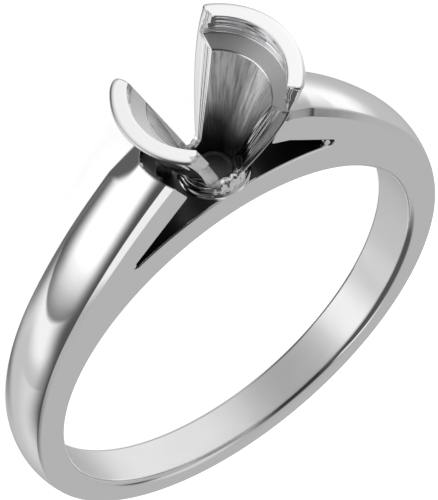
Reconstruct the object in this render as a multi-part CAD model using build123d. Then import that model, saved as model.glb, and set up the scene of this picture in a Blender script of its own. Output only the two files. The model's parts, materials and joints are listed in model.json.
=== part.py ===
from build123d import *

import os
from math import acos, atan2, cos, degrees, radians, sin, sqrt
from typing import NamedTuple

# Solitaire engagement ring without its stone, in millimetres.
# The origin is the centre of the finger hole. Every piece of the ring is drawn upright to
# its own planes: Z is the finger's axis, Y points at the setting and X runs across it.
# The finished ring is then leaned about X by rest_pitch, so that it lies as it would on a
# table, on the foot of the band and on one wing, with its side face up.

# Finger hole
finger_hole_d = 16.5
hole_edge_round = 0.30

# Band, seen from its side face
foot_wall = 0.90  # at the dome's edge, opposite the setting
flank_wall = 1.23  # at the dome's edge, where the ring is widest
flank_r = 12.2  # arc of the dome's edge from the widest place up
flank_sweep = 33.0
shoulder_r = 21.8  # flatter arc that goes on up to the setting

# Band, seen along its path
foot_width = 1.93
shoulder_width = 2.60
shoulder_height = 12.2  # where the shoulder's width is measured
dome_rise_foot = 0.20
dome_rise_shoulder = 0.28
bevel_drop = 0.31  # facet between dome and side face, at the shoulder's end
bevel_inset = 0.26

# Bridge over the finger, under the setting, and the wedge windows beside it
bridge_wall = 1.34  # over the finger hole
bridge_r = 10.96
window_tip_x = 5.28  # where the window's two sides would meet
window_rise = 1.50  # from the bridge's top to the lower corner of each shoulder's free end
shoulder_under_x = 1.96
window_tip_round = 0.15

# Setting: a tulip of sheet metal that a V cut parts into two wings. Heights are from the
# bridge's top.
rim_rise = 5.23
rim_d = 7.00
rim_round = 0.11
lip_wall = 0.64
seat_depth = 0.86  # from the rim down to the seat's outer edge
seat_width = 0.58
seat_drop = 0.27
wall_foot_d = 2.30
wall_foot_rise = 0.53
wall_flare_r = 30.0
hollow_floor_d = 1.52
hollow_floor_rise = 0.32
hollow_flare_r = 26.0
cut_half_width = 2.15  # of the V cut, at the rim
cut_bottom_rise = 0.22
cut_bottom_round = 0.16
collar_d = 2.64
collar_rise = 0.34
collar_sink = 0.09  # of the collar's foot in the bridge, at the middle
peg_d = 2.24  # root of the setting inside the bridge
setting_turn = 4.0
setting_gap = 0.75  # from the wings to the shoulders' free ends
match = 0.01  # how near a point must lie to a size to be picked by it

# What each named size fixes
hole_r = finger_hole_d / 2
bridge_top = hole_r + bridge_wall
shoulder_under_y = bridge_top + window_rise
rim_height = bridge_top + rim_rise
wall_foot_height = bridge_top + wall_foot_rise
hollow_floor_height = bridge_top + hollow_floor_rise
cut_bottom_height = bridge_top + cut_bottom_rise
collar_top = bridge_top + collar_rise
rim_r = rim_d / 2
wall_foot_r = wall_foot_d / 2
hollow_floor_r = hollow_floor_d / 2
collar_r = collar_d / 2
peg_r = peg_d / 2
side_stock = 0.12  # left on the blank's sides, and cut off with the side faces
hole_stock = 0.70  # left inside the blank, and cut out with the finger hole
cut_reach = 30.0  # every cutting tool passes right through the ring


class Station(NamedTuple):
    """One cross-section of the band. The angle is taken from the foot."""

    angle: float
    dome: float  # share of the way from the foot's dome rise to the shoulder's
    drop: float  # share of bevel_drop
    inset: float  # share of bevel_inset


STATIONS = (
    Station(angle=0, dome=0.00, drop=0.22, inset=0.20),
    Station(angle=22, dome=0.00, drop=0.22, inset=0.20),
    Station(angle=44, dome=0.00, drop=0.24, inset=0.20),
    Station(angle=66, dome=0.10, drop=0.28, inset=0.20),
    Station(angle=88, dome=0.20, drop=0.34, inset=0.21),
    Station(angle=106, dome=0.35, drop=0.48, inset=0.24),
    Station(angle=122, dome=0.50, drop=0.66, inset=0.29),
    Station(angle=136, dome=0.65, drop=0.84, inset=0.36),
    Station(angle=149, dome=0.80, drop=0.95, inset=0.50),
    Station(angle=160, dome=0.92, drop=1.00, inset=0.74),
    Station(angle=171, dome=1.00, drop=1.00, inset=1.00),
)


def half_width(y: float) -> float:
    """Half the band's width at a height: the two side faces are flat and lean apart."""
    foot_y = -(hole_r + foot_wall)
    share = (y - foot_y) / (shoulder_height - foot_y)
    return (foot_width + share * (shoulder_width - foot_width)) / 2


def reach(centre_x: float, centre_y: float, radius: float, direction: Vector) -> float:
    """Distance from the hole's centre, along a direction, to an arc that holds it."""
    along = centre_x * direction.X + centre_y * direction.Y
    return along + sqrt(radius**2 - centre_x**2 - centre_y**2 + along**2)


def dome_edge(angle: float) -> float:
    """Distance of the dome's edge from the hole's centre, at an angle from the foot."""
    direction = Vector(sin(radians(angle)), -cos(radians(angle)))
    foot_r = hole_r + flank_wall
    foot_y = flank_wall - foot_wall
    flank_x = foot_r - flank_r
    turn_x = flank_x + (flank_r - shoulder_r) * cos(radians(flank_sweep))
    turn_y = foot_y + (flank_r - shoulder_r) * sin(radians(flank_sweep))
    join_y = foot_y + flank_r * sin(radians(flank_sweep))
    join_x = flank_x + flank_r * cos(radians(flank_sweep))
    flank_start = 90 + degrees(atan2(foot_y, foot_r))
    shoulder_start = 90 + degrees(atan2(join_y, join_x))
    if angle <= flank_start:
        return reach(0, foot_y, foot_r, direction)
    if angle <= shoulder_start:
        return reach(flank_x, foot_y, flank_r, direction)
    return reach(turn_x, turn_y, shoulder_r, direction)


def band_section(station: Station, side: int) -> Face:
    """Cross-section in the plane through the finger's axis, on one side of the ring."""
    edge = dome_edge(station.angle)
    direction = Vector(side * sin(radians(station.angle)), -cos(radians(station.angle)), 0)
    half = half_width(edge * direction.Y)
    inset = bevel_inset * station.inset
    drop = bevel_drop * station.drop
    rise = dome_rise_foot + station.dome * (dome_rise_shoulder - dome_rise_foot)
    outer_half = half + side_stock
    bevel_foot = edge - drop * (inset + side_stock) / inset
    plane = Plane(origin=(0, 0, 0), x_dir=direction, z_dir=direction.cross(Vector(0, 0, 1)))
    inner = hole_r - hole_stock
    crown = ThreePointArc((edge, half - inset), (edge + rise, 0), (edge, inset - half))
    sides = Polyline(
        (edge, inset - half),
        (bevel_foot, -outer_half),
        (inner, -outer_half),
        (inner, outer_half),
        (bevel_foot, outer_half),
        (edge, half - inset),
    )
    return plane * make_face(crown + sides)


def band_blank() -> Part:
    """Band from one shoulder round the foot to the other, before it is cut."""
    left = [band_section(station, -1) for station in reversed(STATIONS)]
    right = [band_section(station, 1) for station in STATIONS[1:]]
    return loft(left + right)


def bridge_blank() -> Part:
    """Arched strip over the finger that joins the two shoulders under the setting."""
    spread = radians(180 - STATIONS[-2].angle)
    inner = hole_r - hole_stock
    corner = Vector(sin(spread), cos(spread)) * inner
    top_centre_y = bridge_top - bridge_r
    top_corner_x = window_tip_x
    top_corner_y = top_centre_y + sqrt(bridge_r**2 - top_corner_x**2)
    outline = (
        ThreePointArc((-corner.X, corner.Y), (0, inner), (corner.X, corner.Y))
        + Line((corner.X, corner.Y), (top_corner_x, top_corner_y))
        + ThreePointArc(
            (top_corner_x, top_corner_y), (0, bridge_top), (-top_corner_x, top_corner_y)
        )
        + Line((-top_corner_x, top_corner_y), (-corner.X, corner.Y))
    )
    return extrude(make_face(outline), amount=half_width(bridge_top), both=True)


def between_side_faces() -> Part:
    """Everything between the planes of the two side faces."""
    low, high = -cut_reach / 2, cut_reach / 2
    outline = Polyline(
        (low, -half_width(low)),
        (high, -half_width(high)),
        (high, half_width(high)),
        (low, half_width(low)),
        close=True,
    )
    plane = Plane(origin=(0, 0, 0), x_dir=(0, 1, 0), z_dir=(1, 0, 0))
    return extrude(plane * make_face(outline), amount=cut_reach / 2, both=True)


def window_cut() -> Part:
    """Curved triangle over the bridge that leaves a wedge window in each shoulder."""
    centre_y = bridge_top - bridge_r
    tip_y = centre_y + sqrt(bridge_r**2 - window_tip_x**2)
    slope = (shoulder_under_y - tip_y) / (window_tip_x - shoulder_under_x)
    peak_y = shoulder_under_y + slope * shoulder_under_x
    outline = (
        ThreePointArc((-window_tip_x, tip_y), (0, bridge_top), (window_tip_x, tip_y))
        + Line((window_tip_x, tip_y), (0, peak_y))
        + Line((0, peak_y), (-window_tip_x, tip_y))
    )
    face = make_face(outline)
    tips = face.vertices().sort_by(Axis.Y)[:2]
    return extrude(fillet(tips, window_tip_round), amount=cut_reach / 2, both=True)


def wall_radius(y: float) -> float:
    """Outer radius of the setting's wall at a height, on its flare arc."""
    span_x, span_y = rim_r - wall_foot_r, rim_height - wall_foot_height
    length = sqrt(span_x**2 + span_y**2)
    height = sqrt(wall_flare_r**2 - (length / 2) ** 2)
    centre_x = (rim_r + wall_foot_r) / 2 + height * span_y / length
    centre_y = (rim_height + wall_foot_height) / 2 - height * span_x / length
    return centre_x - sqrt(wall_flare_r**2 - (y - centre_y) ** 2)


def setting_clearance() -> Part:
    """Room round the setting: its own wall, moved out by the gap to the shoulders."""
    low = (bridge_top + wall_foot_height) / 2
    high = rim_height
    levels = [low, (low + high) / 2, high]
    rail = [(wall_radius(y) + setting_gap, y) for y in levels]
    outline = ThreePointArc(*rail) + Polyline(rail[-1], (0, high), (0, low), rail[0])
    return revolve(make_face(outline), axis=Axis.Y)


def lies_on_hole(edge: Edge) -> bool:
    """Whether an edge is one of the two rims of the finger hole."""
    points = (edge @ 0, edge @ 0.3, edge @ 0.7)
    off = [abs(Vector(point.X, point.Y).length - hole_r) for point in points]
    return max(off) < match and edge.length > hole_r


def shank() -> Part:
    """Band, shoulders and bridge, with the finger hole and the windows cut."""
    body = (band_blank() + bridge_blank()) & between_side_faces()
    body -= Cylinder(hole_r, cut_reach)
    body -= window_cut()
    body -= setting_clearance()
    rims = [edge for edge in body.edges() if lies_on_hole(edge)]
    return fillet(rims, hole_edge_round)


def setting_solid() -> Part:
    """Tulip turned about its own axis, with lip, seat and hollow, before the V cut."""
    seat_edge_y = rim_height - seat_depth
    seat_outer_r = rim_r - lip_wall
    seat_inner_r = seat_outer_r - seat_width
    root_y = (hole_r + bridge_top) / 2
    collar_foot_y = bridge_top - collar_sink
    outline = Polyline(
        (0, root_y),
        (peg_r, root_y),
        (peg_r, collar_foot_y),
        (collar_r, collar_foot_y),
        (collar_r, collar_top),
        (wall_foot_r, wall_foot_height),
    )
    outline += RadiusArc((wall_foot_r, wall_foot_height), (rim_r, rim_height), wall_flare_r)
    outline += Polyline(
        (rim_r, rim_height),
        (seat_outer_r, rim_height),
        (seat_outer_r, seat_edge_y),
        (seat_inner_r, seat_edge_y - seat_drop),
    )
    outline += RadiusArc(
        (seat_inner_r, seat_edge_y - seat_drop),
        (hollow_floor_r, hollow_floor_height),
        -hollow_flare_r,
    )
    outline += Polyline((hollow_floor_r, hollow_floor_height), (0, hollow_floor_height), (0, root_y))
    return revolve(make_face(outline), axis=Axis.Y)


def v_cut() -> Part:
    """Wedge along the finger's axis that parts the setting into two wings."""
    top = rim_height + rim_round
    lean = atan2(cut_half_width, rim_height - cut_bottom_height + cut_bottom_round)
    point_y = cut_bottom_height - cut_bottom_round * (1 / sin(lean) - 1)
    half_top = cut_half_width * (top - point_y) / (rim_height - point_y)
    face = make_face(Polyline((0, point_y), (half_top, top), (-half_top, top), close=True))
    bottom = face.vertices().sort_by(Axis.Y)[:1]
    return extrude(fillet(bottom, cut_bottom_round), amount=cut_reach / 2, both=True)


def is_rim(edge: Edge) -> bool:
    """Whether an edge lies in the flat top of the rim."""
    return min((edge @ 0).Y, (edge @ 1).Y) > rim_height - match


def setting() -> Part:
    """The two wings on their collar, turned on the bridge as in the photo."""
    body = setting_solid() - v_cut()
    body = fillet([edge for edge in body.edges() if is_rim(edge)], rim_round)
    return Rot(0, setting_turn, 0) * body


def rest_pitch() -> float:
    """Lean at which the ring lies on its foot and on the lower corner of one wing."""
    corner = acos(cut_half_width / rim_r) + radians(setting_turn)
    corner_z = rim_r * sin(corner)
    foot_y = hole_r + foot_wall
    return degrees(atan2(corner_z - half_width(-foot_y), rim_height + foot_y))


ring = Rot(rest_pitch(), 0, 0) * (shank() + setting())

os.makedirs("parts", exist_ok=True)
export_step(ring, "parts/ring.step")
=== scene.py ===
"""Looks of a solitaire engagement ring without its stone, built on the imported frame."""

import json
import logging
import math
from dataclasses import dataclass, replace
from enum import Enum, IntEnum
from typing import Any, Callable, Sequence

import bmesh
import bpy
import numpy as np
from mathutils import Matrix, Vector, noise


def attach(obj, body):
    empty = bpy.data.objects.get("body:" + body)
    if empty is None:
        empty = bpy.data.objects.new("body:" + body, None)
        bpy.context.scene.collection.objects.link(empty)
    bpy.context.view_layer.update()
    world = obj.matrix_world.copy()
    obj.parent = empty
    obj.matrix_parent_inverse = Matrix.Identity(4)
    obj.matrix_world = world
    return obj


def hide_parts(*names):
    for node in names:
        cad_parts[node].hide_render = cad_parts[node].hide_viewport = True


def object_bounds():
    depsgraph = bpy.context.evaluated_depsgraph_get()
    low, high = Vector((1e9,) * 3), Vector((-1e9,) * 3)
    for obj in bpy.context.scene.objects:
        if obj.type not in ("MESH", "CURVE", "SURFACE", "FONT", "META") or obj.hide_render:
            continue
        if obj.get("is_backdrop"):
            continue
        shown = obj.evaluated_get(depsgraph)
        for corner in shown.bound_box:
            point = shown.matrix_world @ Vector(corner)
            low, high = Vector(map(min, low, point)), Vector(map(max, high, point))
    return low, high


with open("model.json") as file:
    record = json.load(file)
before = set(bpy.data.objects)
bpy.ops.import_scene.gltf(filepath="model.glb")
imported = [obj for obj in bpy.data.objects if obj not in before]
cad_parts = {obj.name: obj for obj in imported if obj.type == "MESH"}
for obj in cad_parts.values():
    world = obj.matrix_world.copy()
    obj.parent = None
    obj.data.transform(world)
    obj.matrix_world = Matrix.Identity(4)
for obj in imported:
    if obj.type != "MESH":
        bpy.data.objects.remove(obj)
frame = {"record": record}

LOG = logging.getLogger("ring")
MM = 0.001
NODE = "ring"
ROOT = "root"
MARK_DEPTH = 0.01 * MM
WHITE = (1.0, 1.0, 1.0, 1.0)
FINE_NOISE = (3.0, 0.6)  # detail and roughness
BROAD_NOISE = (1.0, 0.4)

Row = list[np.ndarray]


class Quantity:
    """One socket of a node tree, with Python operators that add Math nodes."""

    def __init__(self, graph: "Graph", socket: bpy.types.NodeSocket) -> None:
        """Keeps the graph that new nodes go into, and the output socket."""
        self.graph = graph
        self.socket = socket

    def math(self, operation: str, *others: "Quantity | float") -> "Quantity":
        """One Math node on this value and the others after it."""
        values = dict(enumerate((self, *others)))
        return self.graph.output(self.graph.node("ShaderNodeMath", {"operation": operation}, values))

    def __add__(self, other: "Quantity | float") -> "Quantity":
        """Sum."""
        return self.math("ADD", other)

    def __sub__(self, other: "Quantity | float") -> "Quantity":
        """Difference."""
        return self.math("SUBTRACT", other)

    def __rsub__(self, other: float) -> "Quantity":
        """A number less this."""
        return self.graph.number(other).math("SUBTRACT", self)

    def __mul__(self, other: "Quantity | float") -> "Quantity":
        """Product."""
        return self.math("MULTIPLY", other)

    def __truediv__(self, other: "Quantity | float") -> "Quantity":
        """Quotient."""
        return self.math("DIVIDE", other)

    def __pow__(self, other: float) -> "Quantity":
        """Power."""
        return self.math("POWER", other)

    __radd__ = __add__
    __rmul__ = __mul__

    def held(self, low: "Quantity | float", high: "Quantity | float") -> "Quantity":
        """This value, kept between two limits."""
        return self.math("MAXIMUM", low).math("MINIMUM", high)


class Graph:
    """A node tree and the one way that nodes are added to it."""

    def __init__(self, tree: bpy.types.NodeTree) -> None:
        """Keeps a shader or geometry tree, and empties it."""
        self.tree = tree
        tree.nodes.clear()

    def node(
        self, kind: str, settings: dict[str, Any] | None = None, inputs: dict[str | int, Any] | None = None
    ) -> bpy.types.Node:
        """Adds a node, sets its settings and then fills or links its sockets.

        Args:
            kind: The node's type.
            settings: Its properties, set first.
            inputs: Values, sockets or quantities by the socket's name or place.

        Returns:
            The new node.
        """
        node = self.tree.nodes.new(kind)
        for name, value in (settings or {}).items():
            setattr(node, name, value)
        for name, value in (inputs or {}).items():
            socket = node.inputs[name]
            source = value.socket if isinstance(value, Quantity) else value
            if isinstance(source, bpy.types.NodeSocket):
                self.tree.links.new(source, socket)
            else:
                socket.default_value = source
        return node

    def output(self, node: bpy.types.Node, name: str | int = 0) -> Quantity:
        """One output of a node as a quantity."""
        return Quantity(self, node.outputs[name])

    def number(self, value: float) -> Quantity:
        """A constant as a quantity.

        Args:
            value: The constant.

        Returns:
            The quantity.
        """
        node = self.node("ShaderNodeValue")
        node.outputs[0].default_value = value
        return self.output(node)

    def vector(self, x: Any = 0.0, y: Any = 0.0, z: Any = 0.0) -> bpy.types.NodeSocket:
        """Three numbers or quantities as a vector."""
        return self.node("ShaderNodeCombineXYZ", None, {0: x, 1: y, 2: z}).outputs[0]

    def parts(self, vector: bpy.types.NodeSocket) -> tuple[Quantity, ...]:
        """The three parts of a vector."""
        node = self.node("ShaderNodeSeparateXYZ", None, {0: vector})
        return tuple(self.output(node, axis) for axis in range(3))

    def noise(
        self, vector: bpy.types.NodeSocket, scale: float, detail: float, roughness: float
    ) -> Quantity:
        """Noise between 0 and 1."""
        inputs = {"Vector": vector, "Scale": scale, "Detail": detail, "Roughness": roughness}
        return self.output(self.node("ShaderNodeTexNoise", None, inputs))


def new_material(name: str) -> tuple[bpy.types.Material, Graph]:
    """Makes an empty node material.

    Args:
        name: Its name.

    Returns:
        The material and its graph.
    """
    material = bpy.data.materials.new(name)
    material.use_nodes = True
    return material, Graph(material.node_tree)


def shade(graph: Graph, inputs: dict[str, Any]) -> None:
    """Ends a material in one Principled shader."""
    shader = graph.node("ShaderNodeBsdfPrincipled", None, inputs)
    graph.node("ShaderNodeOutputMaterial", None, {"Surface": shader.outputs[0]})


def shade_metal(graph: Graph, colour: Any, rough: Quantity, height: Quantity) -> None:
    """Ends a material in bare metal.

    Args:
        graph: The material's graph.
        colour: Its colour, as numbers or a socket.
        rough: Its roughness.
        height: Height of the marks left by the tools.
    """
    bump = graph.node("ShaderNodeBump", None, {"Height": height, "Strength": 1.0, "Distance": MARK_DEPTH})
    inputs = {"Base Color": colour, "Metallic": 1.0, "Roughness": rough.held(0.0, 1.0)}
    shade(graph, {**inputs, "Normal": bump.outputs[0]})


@dataclass(frozen=True)
class MetalFinish:
    """White gold with a hand finish; the darkest ones paint shade into their colour. Lengths are in
    millimetres.
    """

    name: str
    colour: tuple[float, float, float]
    roughness: float
    roughness_range: float
    grain: float  # size of the finest marks
    relief: float  # strength of those marks
    swell: float = 0.0  # strength of the slow unevenness left by filing
    swells: float = 0.7  # slow swells for each millimetre

    def material(self) -> bpy.types.Material:
        """Builds the material.

        Returns:
            A node material whose roughness and bump carry the marks.
        """
        material, graph = new_material(self.name)
        place = graph.node("ShaderNodeTexCoord").outputs["Object"]
        fine = graph.noise(place, 1 / (self.grain * MM), *FINE_NOISE)
        broad = graph.noise(place, self.swells / MM, *BROAD_NOISE)
        rough = self.roughness + (fine - 0.5) * self.roughness_range + (broad - 0.5) * self.roughness_range
        shade_metal(graph, (*self.colour, 1.0), rough, fine * self.relief + broad * self.swell)
        return material


@dataclass(frozen=True)
class HollowFinish:
    """Reamed hollow of the setting, streaked from top to bottom, with painted shade towards the foot and on
    the far side. Lengths in millimetres.
    """

    name: str
    upper: float  # reflectance near the ledge
    lower: float  # reflectance near the foot, darkened as painted shade
    low_y: float
    high_y: float
    streaks: float  # noise features round the hollow for each radian
    run: float  # noise features for each millimetre of height
    relief: float
    roughness: float
    roughness_range: float = 0.2
    contrast: float = 3.4
    brightness: float = 0.7
    far_shade_drop: float = 0.8  # how far under high_y the painted shade of the far side begins
    far_shade_fade: float = 0.9
    far_shade_strength: float = 0.75
    far_shade_level: float = 1.5
    far_shade_unevenness: float = 2.5
    fine_streak: float = 2.6  # fineness of the lines
    broad_streak: float = 0.7  # fineness of the slow changes
    streak_grit: float = 0.55
    broad_relief: float = 2.4  # relief of the slow changes, in shares of the lines'
    darkest: float = 0.02
    brightest: float = 0.9
    lean: float = 0.0

    def material(self) -> bpy.types.Material:
        """Builds the material.

        Returns:
            A node material whose colour carries the streaks and painted shade, and whose roughness and bump
            carry the streaks.
        """
        material, graph = new_material(self.name)
        place = graph.node("ShaderNodeTexCoord").outputs["Object"]
        turned = {"Vector": place, "Rotation": (-self.lean, 0.0, 0.0), "Scale": (1 / MM,) * 3}
        x, y, z = graph.parts(graph.node("ShaderNodeMapping", None, turned).outputs[0])
        turn = z.math("ARCTAN2", x)
        round_x, round_z = turn.math("COSINE") * self.streaks, turn.math("SINE") * self.streaks

        def streak(fineness: float, detail: float) -> Quantity:
            """Noise drawn out along the wall."""
            where = graph.vector(round_x * fineness, y * (self.run * fineness), round_z * fineness)
            return graph.noise(where, 1.0, detail, self.streak_grit)

        fine, broad = streak(self.fine_streak, 3.0), streak(self.broad_streak, 1.0)
        rise = ((y - self.low_y) / (self.high_y - self.low_y)).held(0.0, 1.0)
        # Painted shade on the far side of the hollow, below the ledge, in patches.
        away = (-1 * turn.math("SINE")).held(0.0, 1.0)
        below = ((self.high_y - self.far_shade_drop - y) / self.far_shade_fade).held(0.0, 1.0)
        patches = self.far_shade_level + (broad - 0.5) * self.far_shade_unevenness
        far_side_shade = (away * below * patches).held(0.0, 1.0)
        lines = ((fine - 0.5) * self.contrast + self.brightness).held(0.0, 1.0)
        # Painted shade: darker towards the foot, crossed by the reaming streaks.
        depth_shaded_tone = self.lower + (self.upper - self.lower) * rise * lines
        tone = (depth_shaded_tone * (1 - far_side_shade * self.far_shade_strength)).held(self.darkest, self.brightest)
        colour = graph.node("ShaderNodeCombineColor", None, {0: tone, 1: tone, 2: tone}).outputs[0]
        rough = self.roughness + (broad - 0.5) * self.roughness_range
        height = fine * self.relief + broad * (self.relief * self.broad_relief)
        shade_metal(graph, colour, rough, height)
        return material


class Finish(Enum):
    """The finishes on the ring; three of them paint shade into their colour."""

    MIRROR = MetalFinish("mirror_polish", (0.90, 0.90, 0.91), 0.035, 0.03, 0.05, 0.02, 0.3)
    SATIN = MetalFinish("satin_ledge", (0.84, 0.84, 0.85), 0.45, 0.10, 0.06, 0.25)
    # Reaming streaks, with painted shade towards the foot and on the far side.
    HOLLOW = HollowFinish("reamed_hollow", 1.0, 0.44, 10.2, 12.6, 6.5, 0.35, 1.4, 0.31)
    FILED = MetalFinish("filed_cut", (0.92, 0.92, 0.93), 0.12, 0.06, 0.05, 0.08)
    MATTE = MetalFinish("emery_cut", (0.95, 0.95, 0.96), 0.50, 0.06, 0.05, 0.10)
    # Painted shade: a half-dark metal colour for some cut faces of the wings.
    FACET_PAINTED_SHADE = MetalFinish("filed_facet", (0.46, 0.46, 0.47), 0.16, 0.08, 0.05, 0.10)
    BAND = MetalFinish("band_polish", (0.90, 0.90, 0.91), 0.035, 0.03, 0.05, 0.02, 0.9)
    INNER = MetalFinish("inner_polish", (0.85, 0.85, 0.86), 0.33, 0.06, 0.05, 0.03, 1.6)
    # Painted shade: a near-black metal colour for the window recesses, the collar's pit and the solder lump
    # beside the collar.
    RECESS_PAINTED_SHADE = MetalFinish("unpolished_recess", (0.13, 0.13, 0.135), 0.36, 0.2, 0.12, 0.5)


@dataclass(frozen=True)
class RingFrame:
    """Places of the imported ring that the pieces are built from, in millimetres."""

    hole_r: float
    lean: float
    lip_r: float
    seat_y: float

    @classmethod
    def of(cls, record: dict[str, Any]) -> "RingFrame":
        """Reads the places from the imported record.

        Args:
            record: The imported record.

        Returns:
            The hole's radius, the ring's lean and the stone lip's radius and height.
        """
        mounts = {mount["name"]: mount for mount in record["mounts"]}
        bore, lip = mounts["finger_bore"], mounts["stone_lip"]
        lean = math.atan2(-bore["axis"][1], bore["axis"][2])
        return cls(bore["dims"]["r_mm"], lean, lip["dims"]["r_mm"], Vector(lip["pos_m"]).length / MM)

    def to_row(self) -> Matrix:
        """Turns upright millimetres into the row's leaned metres."""
        return Matrix.Rotation(self.lean, 4, "X") @ Matrix.Scale(MM, 4)


def linked(name: str, data: Any) -> bpy.types.Object:
    """Makes an object and puts it in the scene.

    Args:
        name: The object's name.
        data: Its mesh, lamp or camera.

    Returns:
        The object, at the origin.
    """
    made = bpy.data.objects.new(name, data)
    bpy.context.scene.collection.objects.link(made)
    return made


def finish_piece(name: str, mesh: bpy.types.Mesh, ring: RingFrame | None) -> bpy.types.Object:
    """Makes an object of a mesh and hands it to the frame.

    Args:
        name: The piece's name.
        mesh: Its mesh.
        ring: The frame that places it, or None where it is in place already.

    Returns:
        The object, at the origin.
    """
    if ring is not None:
        mesh.transform(ring.to_row())
    mesh.name = name
    piece = linked(name, mesh)
    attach(piece, ROOT)
    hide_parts(NODE)
    LOG.info("%s: %d faces", name, len(mesh.polygons))
    return piece


def evaluated_mesh(source: bpy.types.Object) -> bpy.types.Mesh:
    """Turns an object with modifiers into a plain mesh and removes the object.

    Args:
        source: A linked object.

    Returns:
        The mesh after its modifiers.
    """
    bpy.context.view_layer.update()
    graph = bpy.context.evaluated_depsgraph_get()
    mesh = bpy.data.meshes.new_from_object(
        source.evaluated_get(graph), preserve_all_data_layers=True, depsgraph=graph
    )
    source.modifiers.clear()
    bpy.data.objects.remove(source)
    return mesh


def weighted(mesh: bpy.types.Mesh) -> bpy.types.Mesh:
    """Lets the large faces of a mesh lead its shading.

    Args:
        mesh: A mesh with rounded edges.

    Returns:
        The same shape with weighted normals.
    """
    holder = linked("holder", mesh)
    modifier = holder.modifiers.new("weighted", "WEIGHTED_NORMAL")
    modifier.mode = "FACE_AREA"
    modifier.weight = 50
    return evaluated_mesh(holder)


def close(shape: bmesh.types.BMesh, name: str, gap: float) -> None:
    """Joins points that meet, points the faces outwards and reports odd edges.

    Args:
        shape: The shape, changed in place.
        name: Its name in the report.
        gap: How near to each other two points are joined.
    """
    bmesh.ops.remove_doubles(shape, verts=shape.verts, dist=gap)
    bmesh.ops.recalc_face_normals(shape, faces=shape.faces)
    odd_edges = sum(1 for edge in shape.edges if not edge.is_manifold)
    if odd_edges:
        LOG.warning("%s has %d edges that don't join exactly two faces", name, odd_edges)


def smooth_mesh(name: str, shape: bmesh.types.BMesh) -> bpy.types.Mesh:
    """Makes a smooth mesh of a shape and frees the shape.

    Args:
        name: The mesh's name.
        shape: The shape.

    Returns:
        The mesh.
    """
    for face in shape.faces:
        face.smooth = True
    mesh = bpy.data.meshes.new(name)
    shape.to_mesh(mesh)
    shape.free()
    return mesh


def mesh_from(
    name: str, points: np.ndarray, faces: Sequence[Sequence[int]], slots: Sequence[int] | None = None
) -> bpy.types.Mesh:
    """Makes a closed smooth mesh whose faces point outwards.

    Args:
        name: The mesh's name.
        points: Its points.
        faces: Its faces as places in the list of points.
        slots: Material slot of each face, or None where all have the first.

    Returns:
        The mesh.
    """
    shape = bmesh.new()
    corners = [shape.verts.new(point) for point in points]
    for number, face in enumerate(faces):
        made = shape.faces.new([corners[place] for place in face])
        made.material_index = slots[number] if slots is not None else 0
    close(shape, name, 1e-4)
    return smooth_mesh(name, shape)


def grid_faces(
    rows: int, columns: int, base: int = 0, loop_rows: bool = True, turned: bool = True
) -> list[list[int]]:
    """Faces of a grid of points, row after row.

    Args:
        rows: Number of rows.
        columns: Points in each row.
        base: Place of the grid's first point.
        loop_rows: Whether the rows close into a loop, or else the columns.
        turned: Whether a face goes along its row first.

    Returns:
        The faces as places in the list of points.
    """

    def at(row: int, column: int) -> int:
        """Place of a point."""
        return base + row % rows * columns + column % columns

    faces = []
    for row in range(rows if loop_rows else rows - 1):
        for column in range(columns - 1 if loop_rows else columns):
            sides = [at(row + 1, column), at(row + 1, column + 1), at(row, column + 1)]
            faces.append([at(row, column), *(reversed(sides) if turned else sides)])
    return faces


def rounded(before: np.ndarray, corner: np.ndarray, after: np.ndarray, steps: int) -> Row:
    """Points of a small round over a corner.

    Args:
        before: Where the round starts.
        corner: The corner that it cuts.
        after: Where the round ends.
        steps: Number of points, both ends included.

    Returns:
        The points in order.
    """
    shares = np.linspace(0.0, 1.0, steps)
    return [(1 - t) ** 2 * before + 2 * t * (1 - t) * corner + t**2 * after for t in shares]


def flare(low: tuple[float, float], high: tuple[float, float], radius: float, y: float) -> float:
    """Radius at a height on an arc that is hollow towards the outside.

    Args:
        low: Radius and height of its lower end.
        high: Radius and height of its upper end.
        radius: The arc's own radius.
        y: The height.

    Returns:
        The distance from the setting's axis.
    """
    span_x, span_y = high[0] - low[0], high[1] - low[1]
    length = math.hypot(span_x, span_y)
    depth = math.sqrt(radius**2 - (length / 2) ** 2)
    centre_x = (low[0] + high[0]) / 2 + depth * span_y / length
    centre_y = (low[1] + high[1]) / 2 - depth * span_x / length
    return centre_x - math.sqrt(radius**2 - (y - centre_y) ** 2)


def halved(low: float, high: float, short: Callable[[float], bool], steps: int) -> float:
    """Finds by halving where a condition stops to hold.

    Args:
        low: A value at which it holds.
        high: A value at which it doesn't.
        short: The condition.
        steps: How often the stretch is halved.

    Returns:
        The value between.
    """
    for _ in range(steps):
        middle = (low + high) / 2
        low, high = (middle, high) if short(middle) else (low, middle)
    return (low + high) / 2


def unit(value: float) -> float:
    """A value kept between 0 and 1."""
    return min(1.0, max(0.0, value))


def directions(azimuth: float, elevation: float, turn: float) -> tuple[Vector, Vector, Vector]:
    """Directions of a card or a camera that faces the ring, from angles in degrees.

    Args:
        azimuth: 0 is along -Y, 90 along +X.
        elevation: Angle over the floor.
        turn: How far it is turned in its own plane.

    Returns:
        Its own right, its own up, and the direction from the ring to it.
    """
    azimuth, elevation, turn = (math.radians(angle) for angle in (azimuth, elevation, turn))
    flat = math.cos(elevation)
    out = Vector((flat * math.sin(azimuth), -flat * math.cos(azimuth), math.sin(elevation)))
    level = Vector((math.cos(azimuth), math.sin(azimuth), 0.0))
    upright = out.cross(level)
    right = math.cos(turn) * level + math.sin(turn) * upright
    return right, math.cos(turn) * upright - math.sin(turn) * level, out


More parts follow.
